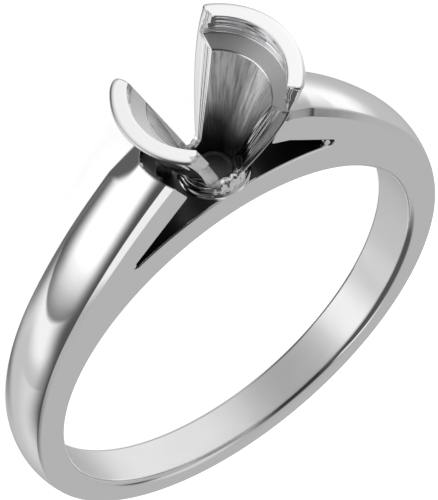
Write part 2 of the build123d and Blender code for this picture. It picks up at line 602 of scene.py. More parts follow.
@dataclass
class Band:
    """Band, shoulders and bridge: one swept body with the windows left open."""

    ring: RingFrame
    foot_wall: float = 0.90
    flank_wall: float = 1.23
    flank_r: float = 12.2
    flank_sweep: float = 33.0
    shoulder_r: float = 21.8
    foot_width: float = 1.93
    shoulder_width: float = 2.60
    shoulder_height: float = 12.2
    dome_rise_foot: float = 0.20
    dome_rise_shoulder: float = 0.28
    bevel_drop: float = 0.31
    bevel_inset: float = 0.26
    hole_edge_round: float = 0.30
    hole_far_round: float = 0.19
    hole_round_steps: int = 10
    bridge_wall: float = 1.34
    bridge_r: float = 10.96
    window_tip_x: float = 5.28
    window_rise: float = 1.50
    shoulder_under_x: float = 1.96
    window_tip_round: float = 0.15
    edge_round: float = 0.045
    bridge_edge_round: float = 0.10
    end_round: float = 0.11
    right_draw: float = 0.30
    left_draw: float = 0.50
    clearance_low: tuple[float, float] = (2.33, 11.09)  # radius and height
    clearance_high: tuple[float, float] = (3.02, 12.60)
    dome_rows: int = 230
    round_steps: int = 4
    dome_columns: int = 12
    hole_steps: int = 360
    end_search: tuple[float, float] = (150.0, 178.0)  # degrees between which the outside ends
    facet_share: float = 0.42  # most of the facet that a round may take
    row_crowding: float = 1.15  # how much closer the rows lie near the setting
    hollow_rows: int = 14
    draw_reach: float = 3.75  # radius round the setting at which the ends start to draw in
    draw_fade: float = 0.7
    draw_low_y: float = 10.75
    draw_rise: float = 0.4
    draw_high_y: float = 12.0  # the left end draws in less above this
    draw_loss: float = 0.25

    def half_width(self, y: float) -> float:
        """Half the band's width.

        Args:
            y: The height.

        Returns:
            The distance of the side face from the ring's middle plane.
        """
        foot_y = -(self.ring.hole_r + self.foot_wall)
        share = (y - foot_y) / (self.shoulder_height - foot_y)
        return (self.foot_width + share * (self.shoulder_width - self.foot_width)) / 2

    def dome_edge(self, angle: float) -> float:
        """Distance of the dome's edge from the hole's centre.

        Args:
            angle: Degrees from the foot.

        Returns:
            The distance, on the foot's, the flank's or the shoulder's arc.
        """
        foot_r = self.ring.hole_r + self.flank_wall
        foot_y = self.flank_wall - self.foot_wall
        flank_x = foot_r - self.flank_r
        sweep = math.radians(self.flank_sweep)
        join_x, join_y = flank_x + self.flank_r * math.cos(sweep), foot_y + self.flank_r * math.sin(sweep)
        inward = self.flank_r - self.shoulder_r
        if angle <= 90 + math.degrees(math.atan2(foot_y, foot_r)):
            centre_x, centre_y, radius = 0.0, foot_y, foot_r
        elif angle <= 90 + math.degrees(math.atan2(join_y, join_x)):
            centre_x, centre_y, radius = flank_x, foot_y, self.flank_r
        else:
            centre_x, centre_y = flank_x + inward * math.cos(sweep), foot_y + inward * math.sin(sweep)
            radius = self.shoulder_r
        turn = math.radians(angle)
        along = centre_x * math.sin(turn) + centre_y * -math.cos(turn)
        return along + math.sqrt(radius**2 - centre_x**2 - centre_y**2 + along**2)

    def profile(self, angle: float) -> np.ndarray:
        """Half a cross-section, from the upper side face to the dome's middle.

        Args:
            angle: Degrees from the foot.

        Returns:
            Rows of distance from the hole's centre and height over the ring's middle.
        """
        # shares of the dome's rise and of the bevel's drop and inset, by the angle
        dome_share = np.interp(angle, (44, 88, 122, 149, 171), (0.0, 0.2, 0.5, 0.8, 1.0))
        turns = (22, 66, 88, 106, 136, 149, 160)
        drop_share = np.interp(angle, turns, (0.22, 0.28, 0.34, 0.48, 0.84, 0.95, 1.0))
        turns = (66, 88, 106, 122, 136, 149, 160, 171)
        inset_share = np.interp(angle, turns, (0.2, 0.21, 0.24, 0.29, 0.36, 0.5, 0.74, 1.0))
        fall = -math.cos(math.radians(angle))
        edge = self.dome_edge(angle)
        under = edge - self.bevel_drop * drop_share
        rise = self.dome_rise_foot + dome_share * (self.dome_rise_shoulder - self.dome_rise_foot)
        low = np.array([under, self.half_width(under * fall)])
        high = np.array([edge, self.half_width(edge * fall) - self.bevel_inset * inset_share])
        span = np.linalg.norm(high - low)
        step = (high - low) / span * min(self.edge_round, self.facet_share * span)
        radius = (high[1] ** 2 + rise**2) / (2 * rise)
        tilt = min(self.edge_round, self.facet_share * span) / radius
        turns = np.linspace(math.asin(high[1] / radius) - tilt, 0.0, self.dome_columns)
        centre = edge + rise - radius
        dome = np.column_stack([centre + radius * np.cos(turns), radius * np.sin(turns)])
        side = under - self.edge_round
        points = rounded(np.array([side, self.half_width(side * fall)]), low, low + step, self.round_steps)
        points += rounded(high - step, high, dome[0], self.round_steps)
        return np.array(points + list(dome[1:]))

    def clearance(self, y: float) -> float:
        """Radius, round the setting, of the shoulders' hollow ends.

        Args:
            y: The height.

        Returns:
            The radius there.
        """
        (low_r, low_y), (high_r, high_y) = self.clearance_low, self.clearance_high
        share = (y - low_y) / (high_y - low_y)
        return low_r + share * (high_r - low_r)

    def dome_point(self, angle: float, column: int) -> np.ndarray:
        """A point of the outside.

        Args:
            angle: Degrees from the foot.
            column: Its place across the band.

        Returns:
            The point.
        """
        reach, height = self.profile(angle)[column]
        turn = math.radians(angle)
        return np.array([reach * math.sin(turn), -reach * math.cos(turn), height])

    def end_angle(self, column: int) -> float:
        """Finds where a column of the outside meets the shoulder's hollow end.

        Args:
            column: The column's place across the band.

        Returns:
            Degrees from the foot.
        """

        def short(angle: float) -> bool:
            """Whether the outside is still clear of the setting."""
            x, y, z = self.dome_point(angle, column)
            return math.hypot(x, z) > self.clearance(y)

        return halved(*self.end_search, short, 30)

    def hollow_point(self, y: float, z: float) -> np.ndarray:
        """A point of the shoulder's hollow end."""
        return np.array([math.sqrt(self.clearance(y) ** 2 - z**2), y, z])

    def under_y(self) -> float:
        """Height of the lower corner of a shoulder's free end."""
        return self.ring.hole_r + self.bridge_wall + self.window_rise

    def bridge_y(self) -> float:
        """Height of the centre of the bridge's arc."""
        return self.ring.hole_r + self.bridge_wall - self.bridge_r

    def window_tip(self) -> np.ndarray:
        """Sharp tip of the window.

        Returns:
            Its x and y.
        """
        return np.array(
            [self.window_tip_x, self.bridge_y() + math.sqrt(self.bridge_r**2 - self.window_tip_x**2)]
        )

    def window_line(self) -> tuple[np.ndarray, np.ndarray, np.ndarray]:
        """The window's upper side.

        Returns:
            The lower corner of the shoulder's free end, the direction from it to the tip,
            and the direction into the shoulder, each as x and y.
        """
        under = np.array([self.shoulder_under_x, self.under_y()])
        span = self.window_tip() - under
        way = span / np.linalg.norm(span)
        return under, way, np.array([-way[1], way[0]])

    def foot_height(self, z: float) -> float:
        """Height at which the hollow end meets the window's upper side.

        Args:
            z: Distance from the ring's middle plane.

        Returns:
            The height there.
        """
        y = self.under_y()
        fall = (y - self.window_tip()[1]) / (self.window_tip_x - self.shoulder_under_x)
        for _ in range(8):
            y = self.under_y() - fall * (self.hollow_point(y, z)[0] - self.shoulder_under_x)
        return y

    def straight_row(
        self, point: np.ndarray, into: np.ndarray, spread: np.ndarray, edge_round: float | None = None
    ) -> Row:
        """Row straight across the band, with its edge rounded over to the side face.

        Args:
            point: Place of the row in the ring's plane, as x and y.
            into: Direction from the surface into the metal, as x and y.
            spread: Share of the half width at each column.
            edge_round: Round of the edge, or None for the usual one.

        Returns:
            The row's points, from the upper side face to the middle.
        """
        small = edge_round or self.edge_round
        half = self.half_width(point[1])
        back = point + into * small
        first = np.array([*back, self.half_width(back[1])])
        inner = np.array([*point, half - small])
        row = rounded(first, np.array([*point, half]), inner, self.round_steps)
        return row + [np.array([*point, share * (half - small)]) for share in spread[self.round_steps :]]

    def outer_rows(self) -> list[Row]:
        """Rows of the outside of the upper right quarter.

        Returns:
            The rows, from the foot to the bridge's middle.
        """
        ends = [self.end_angle(column) for column in range(len(self.profile(0.0)))]
        shares = 1 - (1 - np.linspace(0.0, 1.0, self.dome_rows)) ** self.row_crowding
        step = math.degrees(self.edge_round / self.dome_edge(165.0))
        rows = [
            [self.dome_point(share * (end - step), column) for column, end in enumerate(ends)]
            for share in shares
        ]
        top = [self.dome_point(end, column) for column, end in enumerate(ends)]
        spread = np.array([point[2] / top[self.round_steps][2] for point in top])
        spread[: self.round_steps] = 1.0
        under, _, into = self.window_line()
        foot = self.straight_row(under, into, spread)
        hollow: list[Row] = []
        for level in np.linspace(0.0, 1.0, self.hollow_rows):
            hollow.append([])
            for start, end in zip(top, foot):
                y = start[1] + level * (self.foot_height(end[2]) - start[1])
                z = start[2] + level * (end[2] - start[2])
                hollow[-1].append(self.hollow_point(y, min(z, self.half_width(y))))
        rows += self.corner_rows(rows[-1], hollow[0], hollow[1], self.edge_round)
        self.set_back(hollow)
        plane = self.plane_rows(spread)
        rows += hollow[2:-1] + self.corner_rows(hollow[-2], hollow[-1], plane[0], self.end_round)
        return rows + plane + self.tip_rows(spread)

    def set_back(self, rows: list[Row]) -> None:
        """Rounds the hollow end over to the side face.

        Args:
            rows: Rows of the hollow end, changed in place.
        """
        for row in rows:
            edge = row[0].copy()
            back = edge + np.array([self.edge_round, 0.0, 0.0])
            back[2] = self.half_width(back[1])
            inner = self.hollow_point(edge[1], edge[2] - self.edge_round)
            row[: self.round_steps] = rounded(back, edge, inner, self.round_steps)

    @staticmethod
    def corner_rows(before: Row, corner: Row, after: Row, size: float) -> list[Row]:
        """Rows that round one row of corners.

        Args:
            before: The row before the corner.
            corner: The sharp row.
            after: The row after the corner.
            size: How far from the corner the round starts and ends.

        Returns:
            The rows of the round.
        """

        def beside(sharp: np.ndarray, other: np.ndarray) -> np.ndarray:
            """A point near a corner, on the way to another point."""
            way = other - sharp
            return sharp + way / max(np.linalg.norm(way), 1e-9) * size

        starts = [beside(sharp, other) for sharp, other in zip(corner, before)]
        stops = [beside(sharp, other) for sharp, other in zip(corner, after)]
        return [
            [
                (1 - share) ** 2 * start + 2 * share * (1 - share) * sharp + share**2 * stop
                for start, sharp, stop in zip(starts, corner, stops)
            ]
            for share in (0.0, 0.33, 0.67, 1.0)
        ]

    def plane_rows(self, spread: np.ndarray) -> list[Row]:
        """Rows of the window's upper side.

        Args:
            spread: Share of the half width at each column.

        Returns:
            The rows, the nearest to the free end first.
        """
        under, way, into = self.window_line()
        length = float(np.dot(self.tip_circle()[0] - under, way))
        heights = [point[2] for point in self.straight_row(under, into, spread)]
        starts = [float(np.dot(self.hollow_point(self.foot_height(z), z)[:2] - under, way)) for z in heights]
        rows = []
        for share in np.linspace(0.05, 1.0, 7):
            places = [under + way * (start + share * (length - start)) for start in starts]
            rows.append([self.straight_row(p, into, spread)[n] for n, p in enumerate(places)])
        return rows

    def tip_circle(self) -> tuple[np.ndarray, np.ndarray, float, float]:
        """Round of the window's tip.

        Returns:
            Where the round starts, its centre, and its first and last angle.
        """
        tip, radius = self.window_tip(), self.window_tip_round
        _, way, into = self.window_line()

        def centre_at(back: float) -> np.ndarray:
            """Centre of a round that starts this far from the tip."""
            return tip - way * back - into * radius

        def short(back: float) -> bool:
            """Whether that round would still cut the bridge."""
            x, y = centre_at(back)
            return math.hypot(x, y - self.bridge_y()) - self.bridge_r < radius

        centre = centre_at(halved(0.0, 3.0, short, 40))
        start_turn = math.atan2(into[1], into[0])
        stop_turn = math.atan2(self.bridge_y() - centre[1], -centre[0])
        if stop_turn > start_turn:
            stop_turn -= 2 * math.pi
        return centre + into * radius, centre, start_turn, stop_turn

    def tip_rows(self, spread: np.ndarray) -> list[Row]:
        """Rows round the window's tip and on over the bridge to its middle.

        Args:
            spread: Share of the half width at each column.

        Returns:
            The rows in order.
        """
        _, centre, start, stop = self.tip_circle()
        rows = []
        for turn in np.linspace(start, stop, 9)[1:]:
            out = np.array([math.cos(turn), math.sin(turn)])
            rows.append(self.straight_row(centre + out * self.window_tip_round, out, spread))
        last = rows[-1][-1]
        first_turn = math.atan2(last[0], last[1] - self.bridge_y())
        for turn in np.linspace(first_turn, 0.0, 36)[1:]:
            out = np.array([math.sin(turn), math.cos(turn)])
            place = out * self.bridge_r + np.array([0.0, self.bridge_y()])
            rows.append(self.straight_row(place, -out, spread, self.bridge_edge_round))
        return rows

    def hole_rows(self, small: float) -> list[Row]:
        """Rows of the finger hole, from the upper side face down to the middle.

        Args:
            small: Round of the hole's edge.

        Returns:
            The rows, from the foot on and all the way round.
        """
        rows, radius = [], self.ring.hole_r
        for place in range(self.hole_steps):
            turn = 2 * math.pi * place / self.hole_steps
            way = np.array([math.sin(turn), -math.cos(turn)])
            row = []
            for share in np.linspace(0.0, math.pi / 2, self.hole_round_steps):
                reach = radius + small - small * math.sin(share)
                height = self.half_width(reach * way[1]) - small + small * math.cos(share)
                row.append(np.array([*(way * reach), height]))
            height = self.half_width(radius * way[1]) - small
            rows.append(row + [np.array([*(way * radius), share * height]) for share in (0.6, 0.25, 0.0)])
        return rows

    @staticmethod
    def both_halves(upper: Row, lower: Row) -> Row:
        """A row from the upper side face on through the middle to the lower one."""
        return upper + [point * np.array([1.0, 1.0, -1.0]) for point in reversed(lower[:-1])]

    def build(self) -> bpy.types.Object:
        """Builds and dresses the band.

        Returns:
            The piece.
        """
        right = [self.both_halves(row, row) for row in self.outer_rows()]
        left = [[point * np.array([-1.0, 1.0, 1.0]) for point in row] for row in reversed(right[1:-1])]
        outer = right + left
        near, far = self.hole_rows(self.hole_edge_round), self.hole_rows(self.hole_far_round)
        inner = [self.both_halves(row, other) for row, other in zip(near, far)]
        points = np.array([point for row in outer + inner for point in row])
        width, depth, start = len(outer[0]), len(inner[0]), len(outer) * len(outer[0])
        faces = grid_faces(len(outer), width, turned=False)
        faces += grid_faces(len(inner), depth, base=start, turned=False)
        middle, half_turn = len(right) - 1, self.hole_steps // 2
        for column, hole_column in ((0, 0), (width - 1, depth - 1)):
            for first, last, back in ((0, middle, half_turn), (middle, len(outer), self.hole_steps)):
                side = [place % len(outer) * width + column for place in range(first, last + 1)]
                hole = [place % self.hole_steps for place in range(back, back - half_turn - 1, -1)]
                faces.append(side + [start + place * depth + hole_column for place in hole])
        # Slot 1 paints shade into the windows: their faces get the near-black recess colour.
        shaded_recess_rows = range(self.dome_rows + 3, 2 * len(right) - self.dome_rows - 6)
        rough = range(self.round_steps - 1, width - self.round_steps)
        polished = range(self.hole_round_steps - 2, depth - self.hole_round_steps + 1)
        slots = [int(r in shaded_recess_rows and c in rough) for r in range(len(outer)) for c in range(width - 1)]
        slots += [2 if c in polished else 0 for _ in inner for c in range(depth - 1)] + [0] * 4
        mesh = mesh_from("band", self.closed_in(points), faces, slots)
        for finish in (Finish.BAND, Finish.RECESS_PAINTED_SHADE, Finish.INNER):
            mesh.materials.append(finish.value.material())
        return finish_piece("band", weighted(mesh), self.ring)

    def closed_in(self, points: np.ndarray) -> np.ndarray:
        """Brings the shoulders' ends up to the setting, where the solder draws them in.

        Args:
            points: The band's points.

        Returns:
            The same points, with the right end nearer and the left one nearer at the far side.
        """
        x, y, z = points.T
        near_end = np.clip((self.draw_reach - np.hypot(x, z)) / self.draw_fade, 0.0, 1.0)
        near_end = near_end * np.clip((y - self.draw_low_y) / self.draw_rise, 0.0, 1.0)
        left = np.clip(-z, 0.0, 1.0)
        left_draw = self.left_draw - self.draw_loss * np.clip(y - self.draw_high_y, 0.0, 1.0)
        share = np.where(x > 0, self.right_draw, left_draw * left * left * (3 - 2 * left))
        return np.column_stack([x - np.sign(x) * share * near_end, y, z])


class Side(Enum):
    """The two wings, by the half turn that puts each in its place."""

    RIGHT = 0.0
    LEFT = math.pi


class Patch(IntEnum):
    """Material slots of a wing. Each cut has one more slot, for its second end."""

    POLISH = 0
    LEDGE = 1
    HOLLOW = 2
    CUT = 3
    OUTER_CUT = 5


@dataclass(frozen=True)
class CutEnd:
    """One cut face of a wing, in millimetres."""

    corner_round: float  # round of the rim's outer corner
    inner_base: float  # how far the inner edge lies behind the outer one at the ledge
    inner_growth: float  # how much more for each millimetre further down
    slant: float  # how far the outer edge of the rim lies behind the inner one
    foot_slant: float  # the same at the foot
    floor_y: float  # height of the V cut's floor
    floor_cut: float  # where the cut ends below that floor, from the middle plane
    outer_finish: Finish = Finish.FILED  # finish between the ridge and the outer edge
    inner_finish: Finish = Finish.FILED  # finish of the rest

    def sizes(self, label: str) -> dict[str, float]:
        """The sizes, by the names of the bending rule's inputs."""
        return {f"{label} {name}": size for name, size in vars(self).items() if isinstance(size, float)}


@dataclass
class Wing:
    """One half of the tulip: a sheet bent round the setting's axis, between two cut faces."""

    ring: RingFrame
    side: Side
    foot_cut: float  # half the V cut's width at the foot
    cut_slope: float
    first_end: CutEnd
    second_end: CutEnd
    shift: tuple[float, float] = (0.0, 0.0)
    seat_depth: float = 0.86
    lip_play: float = 0.06  # how much smaller the lip is than its mount
    lip_wall: float = 0.64
    ledge_width: float = 0.58
    ledge_drop: float = 0.27
    rim_round: float = 0.19
    rim_drop: float = 0.10
    inner_round: float = 0.04
    foot_r: float = 1.15
    foot_y: float = 10.12
    root_y: float = 9.66
    cut_foot_y: float = 10.3
    floor_round: float = 0.2
    flare_r: float = 80.0
    belly: float = 0.12
    hollow_r: float = 0.76
    hollow_y: float = 9.91
    hollow_flare_r: float = 26.0
    spread: float = 0.046
    spread_turn: float = 11.0
    turn: float = 4.0
    file_marks: float = 0.009
    round_steps: int = 96
    cap_steps: int = 22
    slant_power: float = 3.0  # how late towards the rim the slant changes
    corner_power: float = 7.0  # how near to the rim the corner's round grows
    widest_cut: float = 0.985  # most of the radius that a cut may reach
    least_round: float = 0.08
    ridge_round: float = 0.03  # added to that round on the outside, and taken off inside
    mark_waves: float = 22.0
    inner_marks: float = 3.4
    outer_marks: float = 0.25
    join_gap: float = 1e-4
    # turned steps of the lip: depth below the rim and how far each stands out
    lip_steps: tuple[tuple[float, float], ...] = (
        (0.62, 0.0), (0.57, 0.05), (0.51, 0.055), (0.46, -0.01), (0.38, -0.02), (0.33, 0.03),
        (0.25, 0.02), (0.20, -0.03), (0.17, 0.0), (0.12, -0.05), (0.075, -0.045), (0.045, 0.0),
    )

    def rim_y(self) -> float:
        """Height of the rim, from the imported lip's middle."""
        return self.ring.seat_y + self.seat_depth / 2

    def lip_r(self) -> float:
        """Inner radius of the lip before the spread."""
        return self.ring.lip_r - self.lip_play

    def sides(self) -> tuple[np.ndarray, np.ndarray, list[Patch]]:
        """The sheet's outside and inside, matched point by point from root to rim.

        Returns:
            Radius and height of each outer point, of each inner point, and the inner
            finish between each point and the next.
        """
        top, lip = self.rim_y(), self.lip_r()
        rim, ledge, seat = lip + self.lip_wall, lip - self.ledge_width, top - self.seat_depth
        ledge_y = seat - self.ledge_drop
        root = ((self.foot_r + self.hollow_r) / 2, self.root_y)
        outer, inner, patches = [root], [root], []

        def wall(y: float) -> float:
            """Radius of the outside.

            Args:
                y: The height.

            Returns:
                The radius there.
            """
            if y < self.foot_y:
                return self.foot_r
            swell = self.belly * math.sin(math.pi * ((y - self.foot_y) / (top - self.foot_y)) ** 1.2)
            return flare((self.foot_r, self.foot_y), (rim, top), self.flare_r, y) + swell

        def hollow(y: float) -> float:
            """Radius of the hollow.

            Args:
                y: The height.

            Returns:
                The radius there.
            """
            if y < self.hollow_y:
                return self.hollow_r
            return flare((self.hollow_r, self.hollow_y), (ledge, ledge_y), self.hollow_flare_r, y)

        def add(place: Sequence[float], patch: Patch, out: Sequence[float] | None = None) -> None:
            """Adds an inner point and its outer one.

            Args:
                place: Radius and height of the inner point.
                patch: Finish from the last inner point to this one.
                out: The outer point, or None where it lies level on the outside.
            """
            inner.append((place[0], place[1]))
            outer.append((wall(place[1]), place[1]) if out is None else (out[0], out[1]))
            patches.append(patch)

        low, high = self.foot_y, 10.5
        heights = [*np.linspace(self.root_y, low, 8), *np.linspace(low, high, 22)[1:]]
        for y in [*heights, *np.linspace(high, ledge_y - self.inner_round, 50)[1:]]:
            add((hollow(y), y), Patch.HOLLOW)
        slope = np.array([lip - ledge, seat - ledge_y])
        slope *= self.inner_round / np.linalg.norm(slope)
        corner = np.array([ledge, ledge_y])
        for place in rounded(np.array(inner[-1]), corner, corner + slope, 5)[1:]:
            add(place, Patch.POLISH)
        corner = np.array([lip, seat])
        first, last = np.array(inner[-1]), corner - slope
        for share in np.linspace(0.0, 1.0, 9)[1:]:
            add(first + share * (last - first), Patch.LEDGE)
        for place in rounded(last, corner, corner + np.array([0.0, self.inner_round]), 4)[1:]:
            add(place, Patch.POLISH)
        for depth, proud in self.lip_steps:
            add((lip - proud, top - depth), Patch.POLISH)
        under = np.array([wall(top - self.rim_drop), top - self.rim_drop])
        out_edge, in_edge = np.array([rim, top]), np.array([lip, top])
        outwards = rounded(under, out_edge, out_edge - np.array([self.rim_round, 0.0]), 9)[1:]
        inwards = rounded(np.array(inner[-1]), in_edge, in_edge + np.array([self.inner_round, 0.0]), 9)[1:]
        for out, place in zip(outwards, inwards):
            add(place, Patch.POLISH, out)
        middle, last_out, last_in = (rim + lip) / 2, outer[-1][0], inner[-1][0]
        for share in np.linspace(0.0, 1.0, 5)[1:]:
            out = (last_out + share * (middle - last_out), top)
            add((last_in + share * (middle - last_in), top), Patch.POLISH, out)
        return np.array(outer), np.array(inner), patches

    def flat_sheet(self) -> bpy.types.Mesh:
        """The sheet before it is bent, with what each point needs to be bent.

        Returns:
            A grid whose points carry their place in the profile, the place of the
            cut face's ridge beside them, and how far round and over the cut they go.
        """
        outer, inner, _ = self.sides()
        count = len(outer)
        on_top = outer[:, 1] > self.rim_y() - self.rim_drop * 1.01
        surface = np.where(on_top, self.lip_r() + self.lip_wall, outer[:, 0])
        depths = (surface - outer[:, 0], surface - inner[:, 0])
        loop = [(outer[i], inner[i], 0.0, depths[0][i], depths[1][i]) for i in range(count)]
        loop += [(inner[i], outer[i], 1.0, depths[1][i], depths[0][i]) for i in range(count - 2, 0, -1)]
        turns = np.sin(np.linspace(-math.pi / 2, math.pi / 2, self.round_steps))
        caps = np.linspace(1.0, 0.0, self.cap_steps, endpoint=False)
        columns = [(-1.0, cap) for cap in caps] + [(turn, 0.0) for turn in turns]
        columns += [(1.0, cap) for cap in reversed(caps)]
        points, walls, ridges, bends = [], [], [], []
        for row, (here, there, inside, depth, far_depth) in enumerate(loop):
            for column, (way, cap) in enumerate(columns):
                points.append((column * 0.1, row * 0.1, 0.0))
                walls.append((here[0], here[1], inside))
                ridges.append(((here[0] + there[0]) / 2, (here[1] + there[1]) / 2, 0.0))
                bends.append((way, cap, depth * (1 - cap / 2) + far_depth * cap / 2))
        mesh = bpy.data.meshes.new("flat_sheet")
        mesh.from_pydata(points, [], grid_faces(len(loop), len(columns)))
        for name, values in (("wall", walls), ("ridge", ridges), ("bend", bends)):
            attribute = mesh.attributes.new(name, "FLOAT_VECTOR", "POINT")
            attribute.data.foreach_set("vector", np.array(values, np.float32).ravel())
        return mesh

    def sizes(self) -> dict[str, float]:
        """Sizes that the bending rule takes.

        Returns:
            Each size by the name of its input.
        """
        return {
            "Rim height": self.rim_y(),
            "Foot height": self.cut_foot_y,
            "Ledge height": self.rim_y() - self.seat_depth,
            "Foot cut": self.foot_cut,
            "Cut slope": self.cut_slope,
            "Floor round": self.floor_round,
            **self.first_end.sizes("First"),
            **self.second_end.sizes("Second"),
            "File marks": self.file_marks,
            "Spread": self.spread,
            "Spread turn": math.radians(self.spread_turn),
            "Half turn": self.side.value,
            "Shift X": self.shift[0],
            "Shift Z": self.shift[1],
            "Turn": math.radians(self.turn),
            "Lean": self.ring.lean,
        }

    def bending_tree(self) -> bpy.types.NodeTree:
        """The rule that bends the flat sheet into a wing.

        Returns:
            A geometry tree with the wing's sizes as named inputs.
        """
        tree = bpy.data.node_groups.new("bend_wing", "GeometryNodeTree")
        kinds = {"Geometry": "Geometry", **{name: "Float" for name in self.sizes()}, "Polish": "Material"}
        for name, kind in kinds.items():
            tree.interface.new_socket(name, in_out="INPUT", socket_type="NodeSocket" + kind)
        tree.interface.new_socket("Geometry", in_out="OUTPUT", socket_type="NodeSocketGeometry")
        graph = Graph(tree)
        given = graph.node("NodeGroupInput")
        size = {name: graph.output(given, name) for name in self.sizes()}

        def attribute(name: str) -> tuple[Quantity, ...]:
            """The three parts of a stored vector.

            Args:
                name: The attribute's name.

            Returns:
                Its parts.
            """
            settings = {"data_type": "FLOAT_VECTOR"}
            return graph.parts(
                graph.node("GeometryNodeInputNamedAttribute", settings, {"Name": name}).outputs[0]
            )

        wall_r, wall_y, inside = attribute("wall")
        ridge_r, ridge_y, _ = attribute("ridge")
        way, cap, over = attribute("bend")
        side = way.math("SIGN")

        def of_end(name: str) -> Quantity:
            """A size of the nearer end."""
            first = size["First " + name]
            return first + (side * 0.5 + 0.5) * (size["Second " + name] - first)

        def rise(y: Quantity) -> Quantity:
            """Share of a height between the V cut's foot and the rim."""
            return ((y - size["Foot height"]) / (size["Rim height"] - size["Foot height"])).held(0.0, 1.0)

        def cut(y: Quantity) -> Quantity:
            """Half the V cut's width, with a rounded floor.

            Args:
                y: The height.

            Returns:
                The half width there.
            """
            floor_cut = of_end("floor_cut")
            line = size["Foot cut"] + (y - size["Foot height"]) * size["Cut slope"]
            low = 1 - ((y - of_end("floor_y")) / size["Floor round"]).held(0.0, 1.0)
            return floor_cut + (line.math("MAXIMUM", floor_cut) - floor_cut) * (1 - low * low).math("SQRT")

        def slant(y: Quantity) -> Quantity:
            """How far the outer edge lies behind the inner one at a height."""
            low = of_end("foot_slant")
            return low + (of_end("slant") - low) * rise(y) ** self.slant_power

        def turn_to(reach: Quantity, radius: Quantity) -> Quantity:
            """Angle round the axis at which a radius is this far from the V cut's middle."""
            return (reach / radius).held(-self.widest_cut, self.widest_cut).math("ARCCOSINE")

        drop = (size["Ledge height"] - wall_y).held(0.0, 9.0)
        behind = of_end("inner_base") + of_end("inner_growth") * drop
        sheet_turn = turn_to(cut(wall_y) + inside * behind + (1 - inside) * slant(wall_y), wall_r)
        ridge_turn = turn_to(cut(ridge_y) + slant(ridge_y) * 0.5, ridge_r)
        angle = sheet_turn * way
        sheet_x, sheet_z = wall_r * angle.math("COSINE"), wall_r * angle.math("SINE")
        ridge_x = ridge_r * ridge_turn.math("COSINE")
        ridge_z = ridge_r * ridge_turn.math("SINE") * side
        y = wall_y + (ridge_y - wall_y) * cap
        share = rise(y)
        round_size = of_end("corner_round") * share**self.corner_power + self.least_round
        round_size = round_size + (self.ridge_round - inside * (2 * self.ridge_round)) * (1 - cap)
        from_corner = (1 - way.math("ABSOLUTE")) * sheet_turn * wall_r + over
        near = (1 - from_corner / round_size).held(0.0, 1.0)
        pull = near * near * round_size * 0.25
        waves = (cap * self.mark_waves).math("SINE") * (cap * (1 - cap))
        marks = waves * (inside * self.inner_marks + self.outer_marks) * size["File marks"]
        x = sheet_x + (ridge_x - sheet_x) * cap + ridge_turn.math("SINE") * pull + marks
        z = sheet_z + (ridge_z - sheet_z) * cap - (ridge_turn.math("COSINE") + 1) * pull * side
        spread = size["Spread"] * share
        turn_cos, turn_sin = size["Spread turn"].math("COSINE"), size["Spread turn"].math("SINE")
        long = (x * turn_cos - z * turn_sin) * (spread + 1)
        short = (x * turn_sin + z * turn_cos) * (1 - spread)
        placed = graph.vector(long * turn_cos + short * turn_sin, y, short * turn_cos - long * turn_sin)
        aside = graph.vector(size["Shift X"], 0.0, size["Shift Z"])
        last = given
        for kind, inputs in (
            ("SetPosition", {"Position": placed}),
            ("MergeByDistance", {"Distance": self.join_gap}),
            ("Transform", {"Rotation": graph.vector(0.0, size["Half turn"]), "Translation": aside}),
            ("Transform", {"Rotation": graph.vector(0.0, size["Turn"])}),
            ("Transform", {"Rotation": graph.vector(size["Lean"]), "Scale": (MM, MM, MM)}),
            ("RealizeInstances", {}),
            ("SetShadeSmooth", {}),
            ("SetMaterial", {"Material": given.outputs["Polish"]}),
        ):
            last = graph.node("GeometryNode" + kind, None, {"Geometry": last.outputs[0], **inputs})
        graph.node("NodeGroupOutput", None, {0: last.outputs[0]})
        return tree

    def build(self) -> bpy.types.Object:
        """Bends, closes and dresses the wing.

        Returns:
            The piece.
        """
        name = self.side.name.lower() + "_wing"
        holder = linked(name, self.flat_sheet())
        modifier = holder.modifiers.new("bend", "NODES")
        modifier.node_group = self.bending_tree()
        values: dict[str, Any] = {**self.sizes(), "Polish": Finish.MIRROR.value.material()}
        for item in modifier.node_group.interface.items_tree:
            if item.in_out == "INPUT" and item.name in values:
                modifier[item.identifier] = values[item.name]
        mesh = evaluated_mesh(holder)
        shape = bmesh.new()
        shape.from_mesh(mesh)
        close(shape, name, 2e-7)
        shape.to_mesh(mesh)
        shape.free()
        self.dress(mesh)
        return finish_piece(name, weighted(mesh), None)

    def dress(self, mesh: bpy.types.Mesh) -> None:
        """Gives the ledge, the hollow and the cut faces their own finish, with painted shade in the hollow
        and on some cut faces.

        Args:
            mesh: The wing, already with the polished material in its first slot.
        """
        _, inner, patches = self.sides()
        hollow = replace(Finish.HOLLOW.value, lean=self.ring.lean)
        ends = (self.first_end, self.second_end)
        cuts = [end.inner_finish.value for end in ends] + [end.outer_finish.value for end in ends]
        for finish in (Finish.SATIN.value, hollow, *cuts):
            mesh.materials.append(finish.material())
        parts = {}
        for name in ("wall", "bend"):
            values = np.zeros(len(mesh.vertices) * 3, np.float32)
            mesh.attributes[name].data.foreach_get("vector", values)
            parts[name] = values.reshape(-1, 3)
        middles = (inner[1:] + inner[:-1]) / 2
        for face in mesh.polygons:
            wall, bend = (parts[name][list(face.vertices)] for name in ("wall", "bend"))
            if bend[:, 1].mean() > 0.001:
                below_lip = wall[:, 1].mean() <= self.rim_y() - self.seat_depth
                cut = Patch.OUTER_CUT if wall[:, 2].mean() < 0.5 and below_lip else Patch.CUT
                face.material_index = cut + int(bend[:, 0].mean() > 0)
            elif wall[:, 2].min() > 0.5:
                distances = np.linalg.norm(middles - wall[:, :2].mean(axis=0), axis=1)
                face.material_index = patches[int(np.argmin(distances))]


